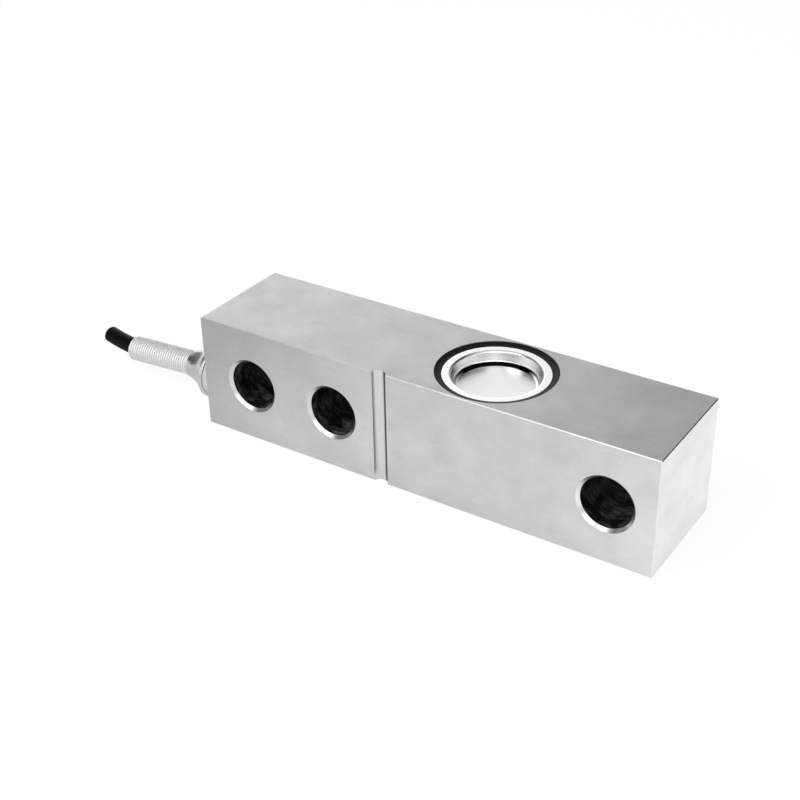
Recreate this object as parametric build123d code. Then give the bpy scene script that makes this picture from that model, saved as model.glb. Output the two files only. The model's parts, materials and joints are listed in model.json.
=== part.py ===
from build123d import *

import math
import os

# Shear beam load cell, lying on one of its two gauge faces as it is stored and photographed.
# +X runs along the beam from the cable end to the load end, -Y is the bolting face with the
# relief groove, +Z is up. The origin is the middle of the beam's bottom face. Millimetres.

# Beam: a ground and nickel plated bar of alloy steel
BEAM_WIDTH = 31.8
BEAM_HEIGHT = 31.8
EDGE_BREAK = 0.2

# Through holes for M12 bolts along the beam's middle line, two to clamp it and one to load it
BOLT_HOLE_DIAMETER = 13.5
LOAD_HOLE_DIAMETER = 13.5
HOLE_CHAMFER = 0.8
CABLE_END_TO_BOLT = 15.7
BOLT_SPACING = 25.4
BOLT_TO_LOAD = 76.2
LOAD_TO_END = 12.7

# Relief groove that parts the clamped end from the measuring end
GROOVE_FROM_BOLT = 14.8
GROOVE_WIDTH = 4.0
GROOVE_DEPTH = 1.5

# Gauge pockets, one from the top and one from the bottom, with the thin web between them
POCKET_FROM_BOLT = 38.6
WEB_THICKNESS = 3.0
LEAD_HOLE_DIAMETER = 2.2
LEAD_HOLE_OFFSET_X = -8.0
LEAD_HOLE_OFFSET_Y = -2.6

# Seal cups: drawn from thin stainless sheet, flange seated on the pocket's ledge
CUP_SHEET = 0.5
CUP_MOUTH_DIAMETER = 22.4
CUP_FLANGE_WIDTH = 2.2
CUP_WALL_LEAN = 0.5
CUP_DEPTH = 3.3
CUP_RIM_BEND = 0.9
CUP_FLOOR_BEND = 1.2
CUP_SIDE_CLEARANCE = 0.45
CUP_RECESS = 0.65

# Black sealant that fills the ring round each flange
SEALANT_WIDTH = 1.85
SEALANT_OUTER_RECESS = 0.15
SEALANT_MENISCUS = 0.12

# Cable port and the wiring gallery that runs under the bolt holes to the lower pocket
PORT_DIAMETER = 12.0
PORT_DEPTH = 7.0
PORT_Y = -3.9
PORT_Z = 8.1
GALLERY_DIAMETER = 3.4
GALLERY_Z = 6.5

# Cable: four cores in a braided shield and a black jacket
CABLE_DIAMETER = 4.7
JACKET_WALL = 0.65
SHIELD_WALL = 0.15
SHIELD_CLEARANCE = 0.03
CORE_DIAMETER = 1.0
CORE_PITCH = 1.12
CORE_SIDES = 8
SHIELD_OVERHANG = 1.5
CORE_NAMES = ("core_red", "core_green", "core_white", "core_black")

# Route of the cable's middle line, from the stripped end inside the gland to the cut end,
# as offsets from the middle of the gland bell's nose
CABLE_ROUTE = [
    (11.2, 0.0, 0.0),
    (0.0, 0.0, 0.0),
    (-12.0, 0.0, -0.68),
    (-24.0, 0.0, -1.47),
    (-33.3, 1.8, -0.77),
]

# Gland, from the end face outwards: gasket, hexagon body, rubber bush, washer and bell nut
GASKET_THICKNESS = 1.0
GASKET_DIAMETER = 13.8
HEXAGON_ACROSS_FLATS = 14.0
HEXAGON_THICKNESS = 5.0
HEXAGON_CORNER_CUT = 0.9
SPIGOT_LENGTH = 6.5
NOSE_THREAD_DIAMETER = 8.4
NOSE_THREAD_LENGTH = 3.6
THREAD_CLEARANCE = 0.05
CABLE_CLEARANCE = 0.2
BUSH_WALL = 0.95
BUSH_LENGTH = 2.8
BUSH_CLEARANCE = 0.03
WASHER_THICKNESS = 0.5
WASHER_CLEARANCE = 0.1
BELL_LENGTH = 8.5
BELL_GAP = 0.2
BELL_SKIRT_DIAMETER = 15.0
BELL_SKIRT_LENGTH = 1.0
BELL_LIP = 0.35
BELL_FLARE_RADIUS = 16.0
BELL_EDGE_ROUND = 0.3

# Strain relief: a closely wound spring over the cable, seated in the bell's nose
SPRING_WIRE = 1.0
SPRING_GAP = 0.1
SPRING_CABLE_CLEARANCE = 0.15
SPRING_HALF_TURNS = 42
SPRING_SEAT_DEPTH = 1.2
SPRING_SEAT_CLEARANCE = 0.05
SPRING_WIRE_SIDES = 6

# Foil strain gauges on the web
GAUGE_CARRIER_SIDE = 7.0
GAUGE_CARRIER_THICKNESS = 0.1
GAUGE_GRID_LENGTH = 2.6
GAUGE_GRID_WIDTH = 2.0
GAUGE_GRID_SPACING = 3.2
GAUGE_FOIL_THICKNESS = 0.05
GAUGE_TAB_WIDTH = 0.9
GAUGE_TAB_LENGTH = 1.0
GAUGE_TAB_SPACING = 1.8
GAUGE_TAB_COUNT = 4
GAUGE_ANGLE = 45.0

# Terminal board under the web, with its resistors and solder joints
BOARD_THICKNESS = 0.8
BOARD_GAUGE_GAP = 1.1
BOARD_CLEARANCE = 0.4
CORE_JOINT_DIAMETER = 1.5
CORE_JOINT_HEIGHT = 0.5
LEAD_JOINT_DIAMETER = 0.8
LEAD_JOINT_HEIGHT = 0.25
JOINT_TAPER = 0.7
JOINT_SIDES = 8
RESISTOR_LENGTH = 1.8
RESISTOR_WIDTH = 1.1
RESISTOR_THICKNESS = 0.45

# Layout of the board: how deep each row of pads lies in it, from its straight edge, and how far
# along its half length there the outermost pads and the resistors sit, as shares of each
LEAD_ROW_DEPTH = 0.18
LEAD_ROW_REACH = 0.62
RESISTOR_REACH = 0.84
CORE_ROW_DEPTH = 0.56
CORE_ROW_REACH = 0.6

# Enamelled wires from the gauges to the terminal board
LEAD_DIAMETER = 0.25
LEAD_BEND = 0.5
LEAD_LIFT = 1.0
LEAD_BUNDLE_PITCH = 0.45
LEAD_SIDES = 6

# Places that follow from the sizes above
BEAM_LENGTH = CABLE_END_TO_BOLT + BOLT_SPACING + BOLT_TO_LOAD + LOAD_TO_END
END_X = -BEAM_LENGTH / 2
MID_Z = BEAM_HEIGHT / 2
FIRST_BOLT_X = END_X + CABLE_END_TO_BOLT
SECOND_BOLT_X = FIRST_BOLT_X + BOLT_SPACING
LOAD_HOLE_X = SECOND_BOLT_X + BOLT_TO_LOAD
GROOVE_X = SECOND_BOLT_X + GROOVE_FROM_BOLT
POCKET_X = SECOND_BOLT_X + POCKET_FROM_BOLT
CUP_FLANGE_DIAMETER = CUP_MOUTH_DIAMETER + 2 * CUP_FLANGE_WIDTH
CUP_FLOOR_DIAMETER = CUP_MOUTH_DIAMETER - 2 * CUP_WALL_LEAN
POCKET_DIAMETER = CUP_MOUTH_DIAMETER + 2 * (CUP_SHEET + CUP_SIDE_CLEARANCE)
LEDGE_DEPTH = CUP_RECESS + CUP_SHEET
LEDGE_DIAMETER = CUP_FLANGE_DIAMETER + 2 * SEALANT_WIDTH
WEB_TOP_Z = MID_Z + WEB_THICKNESS / 2
WEB_BOTTOM_Z = MID_Z - WEB_THICKNESS / 2
PASS_DIAMETER = CABLE_DIAMETER + 2 * CABLE_CLEARANCE
BUSH_DIAMETER = CABLE_DIAMETER + 2 * BUSH_WALL
SPRING_PITCH = SPRING_WIRE + SPRING_GAP
SPRING_OUTER_DIAMETER = CABLE_DIAMETER + 2 * (SPRING_CABLE_CLEARANCE + SPRING_WIRE)
BELL_NOSE_DIAMETER = SPRING_OUTER_DIAMETER + 2 * (SPRING_SEAT_CLEARANCE + BELL_LIP)
HEXAGON_END = GASKET_THICKNESS + HEXAGON_THICKNESS
BODY_END = HEXAGON_END + NOSE_THREAD_LENGTH
BELL_START = HEXAGON_END + BELL_GAP
NOSE_X = END_X - BELL_START - BELL_LENGTH
NOSE = Vector(NOSE_X, PORT_Y, PORT_Z)
BOARD_BOTTOM_Z = WEB_BOTTOM_Z - BOARD_THICKNESS
BOARD_RADIUS = POCKET_DIAMETER / 2 - BOARD_CLEARANCE
BOARD_EDGE_Y = -GAUGE_CARRIER_SIDE / 2 - BOARD_GAUGE_GAP
GAUGE_THICKNESS = GAUGE_CARRIER_THICKNESS + GAUGE_FOIL_THICKNESS
TAB_Y = -(GAUGE_CARRIER_SIDE - GAUGE_TAB_LENGTH) / 2 + GAUGE_FOIL_THICKNESS

# Outward frame of the gland: local z leaves the beam's end face along its axis
GLAND = Plane(origin=(END_X, PORT_Y, PORT_Z), x_dir=(0, 1, 0), z_dir=(-1, 0, 0))
ON_FLOOR = (Align.CENTER, Align.CENTER, Align.MIN)


def disc(diameter, start, end):
    """A round bar along local z, from start to end."""
    return Pos(0, 0, start) * Cylinder(diameter / 2, end - start, align=ON_FLOOR)


def ring(outer, inner, start, end):
    """A round bar with a through bore."""
    return disc(outer, start, end) - disc(inner, start, end)


def turned(*edges):
    """A solid of revolution round local z, from a closed outline in the XZ plane."""
    return revolve(make_face(Wire(edges)), Axis.Z)


def along(path, section):
    """A section drawn in the XY plane, swept from the path's start to its end."""
    return sweep(Plane(origin=path @ 0, z_dir=path % 0) * section, path=path)


def bolt_hole(x, diameter):
    """The tool for one through hole along Y, with a chamfer at both mouths."""
    half = BEAM_WIDTH / 2
    wide = diameter / 2 + 2 * HOLE_CHAMFER
    bore = disc(diameter, -half, half)
    mouth = Pos(0, 0, half) * Cone(diameter / 2, wide, 2 * HOLE_CHAMFER)
    tool = bore + mouth + mirror(mouth, Plane.XY)
    return Pos(x, 0, MID_Z) * Rot(X=90) * tool


def relief_groove():
    """The tool for the round bottomed groove across the bolting face."""
    radius = (GROOVE_WIDTH**2 / 4 + GROOVE_DEPTH**2) / (2 * GROOVE_DEPTH)
    centre_y = -BEAM_WIDTH / 2 + GROOVE_DEPTH - radius
    return Pos(GROOVE_X, centre_y, 0) * disc(2 * radius, -EDGE_BREAK, BEAM_HEIGHT + EDGE_BREAK)


def gauge_pocket():
    """The tool for the upper pocket and the ledge that the seal cup's flange sits on."""
    pocket = disc(POCKET_DIAMETER, WEB_TOP_Z, BEAM_HEIGHT)
    ledge = disc(LEDGE_DIAMETER, BEAM_HEIGHT - LEDGE_DEPTH, BEAM_HEIGHT)
    return Pos(POCKET_X, 0, 0) * (pocket + ledge)


def upside_down(piece):
    """The same piece at the lower pocket."""
    return mirror(piece, Plane.XY.offset(MID_Z))


def beam_body():
    beam = Box(BEAM_LENGTH, BEAM_WIDTH, BEAM_HEIGHT, align=ON_FLOOR)
    beam = chamfer(beam.edges(), EDGE_BREAK)
    for x in (FIRST_BOLT_X, SECOND_BOLT_X):
        beam -= bolt_hole(x, BOLT_HOLE_DIAMETER)
    beam -= bolt_hole(LOAD_HOLE_X, LOAD_HOLE_DIAMETER)
    beam -= relief_groove()
    beam -= gauge_pocket()
    beam -= upside_down(gauge_pocket())
    lead_hole = disc(LEAD_HOLE_DIAMETER, WEB_BOTTOM_Z, WEB_TOP_Z)
    beam -= Pos(POCKET_X + LEAD_HOLE_OFFSET_X, LEAD_HOLE_OFFSET_Y, 0) * lead_hole
    beam -= GLAND * disc(PORT_DIAMETER, -PORT_DEPTH, 0)
    gallery = disc(GALLERY_DIAMETER, -PORT_DEPTH - (POCKET_X - END_X - PORT_DEPTH), -PORT_DEPTH)
    beam -= GLAND * (Pos(0, PORT_Z - GALLERY_Z, 0) * gallery)
    return beam


def seal_cup():
    """A drawn cup: flange, rounded mouth, slightly tapered wall and flat floor."""
    rim_z = BEAM_HEIGHT - CUP_RECESS
    floor_z = rim_z - CUP_DEPTH
    flange, mouth, floor = (d / 2 for d in (CUP_FLANGE_DIAMETER, CUP_MOUTH_DIAMETER, CUP_FLOOR_DIAMETER))
    upper = FilletPolyline(
        (flange, 0, rim_z),
        (mouth, 0, rim_z),
        (floor, 0, floor_z),
        (0, 0, floor_z),
        radius=[CUP_RIM_BEND, CUP_FLOOR_BEND],
    )
    lower = FilletPolyline(
        (flange, 0, rim_z - CUP_SHEET),
        (mouth + CUP_SHEET, 0, rim_z - CUP_SHEET),
        (floor + CUP_SHEET, 0, floor_z - CUP_SHEET),
        (0, 0, floor_z - CUP_SHEET),
        radius=[CUP_RIM_BEND - CUP_SHEET, CUP_FLOOR_BEND + CUP_SHEET],
    )
    edge = Line(upper @ 0, lower @ 0)
    middle = Line(upper @ 1, lower @ 1)
    cup = turned(*upper.edges(), *lower.edges(), edge, middle)
    return Pos(POCKET_X, 0, 0) * cup


def sealant_ring():
    """The sealant round the flange, with a hollow meniscus that climbs to the beam's face."""
    inner = CUP_FLANGE_DIAMETER / 2
    outer = LEDGE_DIAMETER / 2
    ledge_z = BEAM_HEIGHT - LEDGE_DEPTH
    low = (inner, 0, BEAM_HEIGHT - CUP_RECESS)
    high = (outer, 0, BEAM_HEIGHT - SEALANT_OUTER_RECESS)
    sag = ((inner + outer) / 2, 0, (low[2] + high[2]) / 2 - SEALANT_MENISCUS)
    surface = ThreePointArc(low, sag, high)
    sides = Polyline(high, (outer, 0, ledge_z), (inner, 0, ledge_z), low)
    return Pos(POCKET_X, 0, 0) * turned(surface, *sides.edges())


def strain_gauge():
    """A shear gauge on the web's upper face: carrier film, two grids at 45 degrees, solder tabs."""
    side = GAUGE_CARRIER_SIDE
    gauge = Box(side, side, GAUGE_CARRIER_THICKNESS, align=ON_FLOOR)
    top = Pos(0, 0, GAUGE_CARRIER_THICKNESS)
    grid = Box(GAUGE_GRID_LENGTH, GAUGE_GRID_WIDTH, GAUGE_FOIL_THICKNESS, align=ON_FLOOR)
    for sign in (-1, 1):
        place = Pos(sign * GAUGE_GRID_SPACING / 2, GAUGE_GRID_WIDTH / 2, 0)
        gauge += top * place * Rot(Z=sign * GAUGE_ANGLE) * grid
    tab = Box(GAUGE_TAB_WIDTH, GAUGE_TAB_LENGTH, GAUGE_FOIL_THICKNESS, align=ON_FLOOR)
    for x in spread(GAUGE_TAB_COUNT, GAUGE_TAB_SPACING):
        gauge += top * Pos(x, TAB_Y, 0) * tab
    return Pos(POCKET_X, 0, WEB_TOP_Z) * gauge


def spread(count, spacing):
    """Places of count things at that spacing, centred on zero."""
    return [(i - (count - 1) / 2) * spacing for i in range(count)]


def terminal_board():
    """A circuit board cut as a segment of the pocket's circle, glued under the web."""
    board = disc(2 * BOARD_RADIUS, BOARD_BOTTOM_Z, WEB_BOTTOM_Z)
    depth = BOARD_RADIUS + BOARD_EDGE_Y
    strip = Box(2 * BOARD_RADIUS, depth, BEAM_HEIGHT, align=(Align.CENTER, Align.MAX, Align.MIN))
    return Pos(POCKET_X, 0, 0) * (board & Pos(0, BOARD_EDGE_Y, 0) * strip)


def board_row(count, depth, reach):
    """Evenly spaced places in a row across the board's underside."""
    y = BOARD_EDGE_Y - depth * (BOARD_RADIUS + BOARD_EDGE_Y)
    half_length = math.sqrt(BOARD_RADIUS**2 - y**2)
    spacing = 2 * reach * half_length / (count - 1)
    return [Vector(POCKET_X + x, y, BOARD_BOTTOM_Z) for x in spread(count, spacing)]


def core_pads():
    """Where the four cores end on the board."""
    return board_row(len(CORE_NAMES), CORE_ROW_DEPTH, CORE_ROW_REACH)


def lead_pads():
    """Where the gauge leads end on the board, the upper gauge's and the lower one's in turn."""
    return board_row(2 * GAUGE_TAB_COUNT, LEAD_ROW_DEPTH, LEAD_ROW_REACH)


def solder_joints():
    """Small eight sided cones of solder on the board's pads, each a solid of its own."""
    joints = []
    for pads, diameter, height in (
        (core_pads(), CORE_JOINT_DIAMETER, CORE_JOINT_HEIGHT),
        (lead_pads(), LEAD_JOINT_DIAMETER, LEAD_JOINT_HEIGHT),
    ):
        foot = RegularPolygon(diameter / 2, JOINT_SIDES)
        tip = Pos(0, 0, -height) * RegularPolygon(diameter / 2 * JOINT_TAPER, JOINT_SIDES)
        joints += [Pos(*pad) * loft([foot, tip]) for pad in pads]
    return Compound(children=joints)


def balance_resistors():
    """Two chip resistors that trim the bridge, at the ends of the board."""
    chip = Box(
        RESISTOR_WIDTH,
        RESISTOR_LENGTH,
        RESISTOR_THICKNESS,
        align=(Align.CENTER, Align.CENTER, Align.MAX),
    )
    places = board_row(2, LEAD_ROW_DEPTH, RESISTOR_REACH)
    return Compound(children=[Pos(*place) * chip for place in places])


def gauge_lead(points):
    """A thin wire along straight runs, six sided, with one bend radius."""
    path = FilletPolyline(*points, radius=LEAD_BEND)
    return along(path, RegularPolygon(LEAD_DIAMETER / 2, LEAD_SIDES))


def lower_gauge_leads():
    """Four wires that arch from the lower gauge's tabs to every other pad of the board."""
    leads = []
    tab_z = WEB_BOTTOM_Z - GAUGE_THICKNESS
    pads = lead_pads()[1::2]
    tabs = [POCKET_X + x for x in spread(GAUGE_TAB_COUNT, GAUGE_TAB_SPACING)]
    low_z = BOARD_BOTTOM_Z - LEAD_JOINT_HEIGHT - LEAD_LIFT
    for tab_x, pad in zip(tabs, pads):
        start = (tab_x, TAB_Y, tab_z)
        end_z = pad.Z - LEAD_JOINT_HEIGHT
        points = [start, (tab_x, TAB_Y, low_z), (pad.X, pad.Y, low_z), (pad.X, pad.Y, end_z)]
        leads.append(gauge_lead(points))
    return Compound(children=leads)


def upper_gauge_leads():
    """Four wires from the upper gauge's tabs, down through the web to the board's other pads."""
    leads = []
    tab_z = WEB_TOP_Z + GAUGE_THICKNESS
    pads = lead_pads()[0::2]
    tabs = [POCKET_X + x for x in spread(GAUGE_TAB_COUNT, GAUGE_TAB_SPACING)]
    lanes = reversed(spread(GAUGE_TAB_COUNT, LEAD_BUNDLE_PITCH))
    hole_x = POCKET_X + LEAD_HOLE_OFFSET_X
    lowest = BOARD_BOTTOM_Z - LEAD_JOINT_HEIGHT - 2 * LEAD_LIFT
    for step, (tab_x, pad, lane) in enumerate(zip(tabs, pads, lanes)):
        high_z = tab_z + LEAD_LIFT + step * LEAD_BUNDLE_PITCH
        low_z = lowest - step * LEAD_BUNDLE_PITCH
        hole = (hole_x + lane, LEAD_HOLE_OFFSET_Y)
        points = [
            (tab_x, TAB_Y, tab_z),
            (tab_x, TAB_Y, high_z),
            (*hole, high_z),
            (*hole, low_z),
            (pad.X, pad.Y, low_z),
            (pad.X, pad.Y, pad.Z - LEAD_JOINT_HEIGHT),
        ]
        leads.append(gauge_lead(points))
    return Compound(children=leads)


def gland_gasket():
    return GLAND * ring(GASKET_DIAMETER, PORT_DIAMETER + 2 * THREAD_CLEARANCE, 0, GASKET_THICKNESS)


def gland_body():
    """Hexagon body: spigot into the port, and a nose thread with the pocket for the bush."""
    spigot = disc(PORT_DIAMETER - 2 * THREAD_CLEARANCE, -SPIGOT_LENGTH, GASKET_THICKNESS)
    hexagon = RegularPolygon(HEXAGON_ACROSS_FLATS / 2, 6, major_radius=False)
    nut = Pos(0, 0, GASKET_THICKNESS) * extrude(hexagon, HEXAGON_THICKNESS)
    corner = HEXAGON_ACROSS_FLATS / math.sqrt(3)
    blank = disc(2 * corner, GASKET_THICKNESS, HEXAGON_END)
    blank = chamfer(blank.edges().filter_by(GeomType.CIRCLE), HEXAGON_CORNER_CUT)
    nose = disc(NOSE_THREAD_DIAMETER, HEXAGON_END, BODY_END)
    body = spigot + (nut & blank) + nose
    body -= disc(PASS_DIAMETER, -SPIGOT_LENGTH, BODY_END)
    body -= disc(BUSH_DIAMETER + 2 * BUSH_CLEARANCE, BODY_END - BUSH_LENGTH, BODY_END)
    return GLAND * body


def gland_bush():
    """The rubber bush that is squeezed onto the cable."""
    return GLAND * ring(BUSH_DIAMETER, CABLE_DIAMETER, BODY_END - BUSH_LENGTH, BODY_END)


def gland_washer():
    outer = NOSE_THREAD_DIAMETER - 2 * WASHER_CLEARANCE
    return GLAND * ring(outer, PASS_DIAMETER, BODY_END, BODY_END + WASHER_THICKNESS)


def hollow_arc(start, end, radius):
    """An arc in the XZ plane that sags towards the axis between its ends."""
    half = (end - start).length / 2
    sag = radius - math.sqrt(radius**2 - half**2)
    inwards = (end - start).normalized().cross(Vector(0, 1, 0))
    return ThreePointArc(start, (start + end) / 2 + inwards * sag, end)


def gland_bell():
    """Polished bell nut: a skirt, a trumpet flare down to the nose, and a threaded mouth."""
    end = BELL_START + BELL_LENGTH
    skirt = BELL_SKIRT_DIAMETER / 2
    nose = BELL_NOSE_DIAMETER / 2
    bore = PASS_DIAMETER / 2
    lip_top = (skirt, 0, BELL_START + BELL_SKIRT_LENGTH)
    flare = hollow_arc(Vector(*lip_top), Vector(nose, 0, end), BELL_FLARE_RADIUS)
    sides = Polyline((nose, 0, end), (bore, 0, end), (bore, 0, BELL_START), (skirt, 0, BELL_START), lip_top)
    bell = turned(flare, *sides.edges())
    circles = bell.edges().filter_by(GeomType.CIRCLE).filter_by(lambda edge: edge.is_closed)
    bell = fillet(circles.group_by(SortBy.RADIUS)[-1], BELL_EDGE_ROUND)
    mouth = NOSE_THREAD_DIAMETER + 2 * THREAD_CLEARANCE
    bell -= disc(mouth, BELL_START, BODY_END + WASHER_THICKNESS)
    bell -= disc(SPRING_OUTER_DIAMETER + 2 * SPRING_SEAT_CLEARANCE, end - SPRING_SEAT_DEPTH, end)
    return GLAND * bell


def cable_points():
    return [NOSE + Vector(*step) for step in CABLE_ROUTE]


def bend_radii(points):
    """Each bend takes 0.45 of its shorter run on both sides of its point."""
    radii = []
    for before, at, after in zip(points, points[1:], points[2:]):
        turn = math.radians((at - before).get_angle(after - at))
        run = min((at - before).length, (after - at).length)
        radii.append(0.45 * run / math.tan(turn / 2))
    return radii


def cord_path(points):
    return FilletPolyline(*points, radius=bend_radii(points))


def tube(path, diameter):
    return along(path, Circle(diameter / 2))


def cable_jacket():
    path = cord_path(cable_points())
    return tube(path, CABLE_DIAMETER) - tube(path, CABLE_DIAMETER - 2 * JACKET_WALL)


def shield_diameter():
    return CABLE_DIAMETER - 2 * (JACKET_WALL + SHIELD_CLEARANCE)


def cable_shield():
    """The braid, which reaches a little further in than the jacket."""
    points = cable_points()
    points[0] += Vector(SHIELD_OVERHANG, 0, 0)
    path = cord_path(points)
    return tube(path, shield_diameter()) - tube(path, shield_diameter() - 2 * SHIELD_WALL)


def core_route(pad, side, level):
    """One core from the cut end, through gland and gallery, up to its pad on the board."""
    shift = Vector(0, side * CORE_PITCH / 2, level * CORE_PITCH / 2)
    points = [point + shift for point in reversed(cable_points()[1:])]
    drop_start = END_X - GASKET_THICKNESS / 2
    drop_length = PORT_DEPTH + 2 * GASKET_THICKNESS
    points.append(Vector(drop_start, PORT_Y, PORT_Z) + shift)
    points.append(Vector(drop_start + drop_length, PORT_Y, GALLERY_Z) + shift)
    lane_y = PORT_Y + shift.Y
    lane_z = GALLERY_Z + shift.Z
    points.append(Vector(pad.X - (lane_y - pad.Y), lane_y, lane_z))
    points.append(Vector(pad.X, pad.Y, lane_z))
    points.append(Vector(pad.X, pad.Y, pad.Z - CORE_JOINT_HEIGHT))
    return points


def cable_cores():
    """The four insulated cores, by name, eight sided."""
    lanes = [(-1, 1), (-1, -1), (1, 1), (1, -1)]
    section = RegularPolygon(CORE_DIAMETER / 2, CORE_SIDES)
    cores = {}
    for name, pad, (side, level) in zip(CORE_NAMES, core_pads(), lanes):
        cores[name] = along(cord_path(core_route(pad, side, level)), section)
    return cores


def coil_path(radius, pitch, half_turns):
    """A coil up local z as leaning half circles, each half a pitch higher at its end."""
    arcs = []
    for i in range(half_turns):
        side = 1 if i % 2 == 0 else -1
        start = Vector(side * radius, 0, i * pitch / 2)
        end = Vector(-side * radius, 0, (i + 1) * pitch / 2)
        reach = Vector(0, side * (end - start).length / 2, 0)
        arcs.append(ThreePointArc(start, (start + end) / 2 + reach, end))
    return Wire(arcs)


def strain_relief_spring():
    """A close coil on the straight line from the bell's nose to the cable's bend."""
    seat = Plane(origin=NOSE, x_dir=(0, 1, 0), z_dir=cable_points()[3] - NOSE)
    coil_radius = (SPRING_OUTER_DIAMETER - SPRING_WIRE) / 2
    path = coil_path(coil_radius, SPRING_PITCH, SPRING_HALF_TURNS)
    coil = along(path, RegularPolygon(SPRING_WIRE / 2, SPRING_WIRE_SIDES))
    return seat * (Pos(0, 0, SPRING_WIRE / 2 - SPRING_SEAT_DEPTH) * coil)


def parts():
    """Every piece of the load cell, by node name."""
    nodes = {
        "beam_body": beam_body(),
        "top_seal_cup": seal_cup(),
        "bottom_seal_cup": upside_down(seal_cup()),
        "top_sealant_ring": sealant_ring(),
        "bottom_sealant_ring": upside_down(sealant_ring()),
        "upper_strain_gauge": strain_gauge(),
        "lower_strain_gauge": upside_down(strain_gauge()),
        "upper_gauge_leads": upper_gauge_leads(),
        "lower_gauge_leads": lower_gauge_leads(),
        "terminal_board": terminal_board(),
        "balance_resistors": balance_resistors(),
        "solder_joints": solder_joints(),
        "gland_gasket": gland_gasket(),
        "gland_body": gland_body(),
        "gland_bush": gland_bush(),
        "gland_washer": gland_washer(),
        "gland_bell": gland_bell(),
        "strain_relief_spring": strain_relief_spring(),
        "cable_jacket": cable_jacket(),
        "cable_shield": cable_shield(),
    }
    nodes.update(cable_cores())
    return nodes


os.makedirs("parts", exist_ok=True)
for name, shape in parts().items():
    export_step(shape, f"parts/{name}.step")

jacket_path = cord_path(cable_points())
section_area = math.pi * CABLE_DIAMETER**2 / 4
print("cable bend radii", [round(radius, 1) for radius in bend_radii(cable_points())])
print("cable length", round(jacket_path.length, 2))
print("tube volume", round(tube(jacket_path, CABLE_DIAMETER).volume, 2))
print("section times length", round(section_area * jacket_path.length, 2))
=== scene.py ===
import json
import math

import bmesh
import bpy
from mathutils import Matrix, Quaternion, Vector


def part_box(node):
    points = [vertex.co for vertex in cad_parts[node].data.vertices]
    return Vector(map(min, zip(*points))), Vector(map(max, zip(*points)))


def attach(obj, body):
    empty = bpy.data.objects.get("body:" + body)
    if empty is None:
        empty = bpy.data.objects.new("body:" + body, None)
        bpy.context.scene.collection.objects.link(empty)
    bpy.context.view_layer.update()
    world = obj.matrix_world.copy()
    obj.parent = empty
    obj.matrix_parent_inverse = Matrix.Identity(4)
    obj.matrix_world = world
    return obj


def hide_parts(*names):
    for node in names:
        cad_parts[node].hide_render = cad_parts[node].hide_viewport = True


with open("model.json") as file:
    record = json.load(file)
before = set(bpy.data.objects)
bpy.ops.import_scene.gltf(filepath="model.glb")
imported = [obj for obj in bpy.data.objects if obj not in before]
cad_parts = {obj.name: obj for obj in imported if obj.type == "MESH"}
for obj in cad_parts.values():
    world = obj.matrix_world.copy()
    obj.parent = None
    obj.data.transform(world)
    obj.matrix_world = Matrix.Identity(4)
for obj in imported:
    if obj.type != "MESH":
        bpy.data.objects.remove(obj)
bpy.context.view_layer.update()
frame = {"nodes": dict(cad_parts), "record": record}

# Camera
# It looks down on the bolting face from the load end, as the photograph does.
CAMERA_PLACE = Vector((0.1597, -0.2593, 0.2005))
CAMERA_AZIMUTH = math.radians(33.747)
CAMERA_ELEVATION = math.radians(30.767)
CAMERA_ROLL = math.radians(-1.125)
CAMERA_LENS = 63.57

level = math.cos(CAMERA_ELEVATION)
sight = Vector(
    (-math.sin(CAMERA_AZIMUTH) * level, math.cos(CAMERA_AZIMUTH) * level, -math.sin(CAMERA_ELEVATION))
)
camera_data = bpy.data.cameras.new("camera")
camera_data.lens = CAMERA_LENS
camera = bpy.data.objects.new("camera", camera_data)
camera.rotation_mode = "QUATERNION"
camera.rotation_quaternion = sight.to_track_quat("-Z", "Y") @ Quaternion((0, 0, 1), CAMERA_ROLL)
camera.location = CAMERA_PLACE
bpy.context.scene.collection.objects.link(camera)
bpy.context.scene.camera = camera

# Cable jacket
# The outer sheath of the cable: black polyurethane, extruded over the braid and cut off square.
# It comes out of the gland bell through the spring, and bends a little towards its free end.
MM = 0.001
CABLE_ROUTE = [
    Vector((-0.0685, -0.0039, 0.0081)),
    Vector((-0.0797, -0.0039, 0.0081)),
    Vector((-0.0917, -0.0039, 0.00742)),
    Vector((-0.1037, -0.0039, 0.00663)),
    Vector((-0.1130, -0.0021, 0.00733)),
]
CABLE_DIAMETER = 4.7 * MM
JACKET_WALL = 0.65 * MM
JACKET_SIDES = 48
DRAG_LENGTH = 6 * MM
DRAG_WIDTH = 0.3 * MM
NOSE = CABLE_ROUTE[1]


def linear(hex_colour):
    """An sRGB hex colour as linear red, green, blue and alpha."""
    channels = [int(hex_colour[i : i + 2], 16) / 255 for i in (1, 3, 5)]
    return [c / 12.92 if c <= 0.04045 else ((c + 0.055) / 1.055) ** 2.4 for c in channels] + [1.0]


def add(tree, kind, inputs=(), **settings):
    """Adds a node. Its inputs name sockets, or number them, and give a value or the output that feeds it."""
    node = tree.nodes.new(kind)
    for name, value in settings.items():
        setattr(node, name, value)
    for socket, value in dict(inputs).items():
        if isinstance(value, bpy.types.NodeSocket):
            tree.links.new(value, node.inputs[socket])
        else:
            node.inputs[socket].default_value = value
    return node


def new_material(name):
    """An empty material with its node tree and a shader that is linked to the output."""
    material = bpy.data.materials.new(name)
    material.use_nodes = True
    tree = material.node_tree
    tree.nodes.clear()
    shader = tree.nodes.new("ShaderNodeBsdfPrincipled")
    add(tree, "ShaderNodeOutputMaterial", {"Surface": shader.outputs[0]})
    return material, tree, shader


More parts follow.
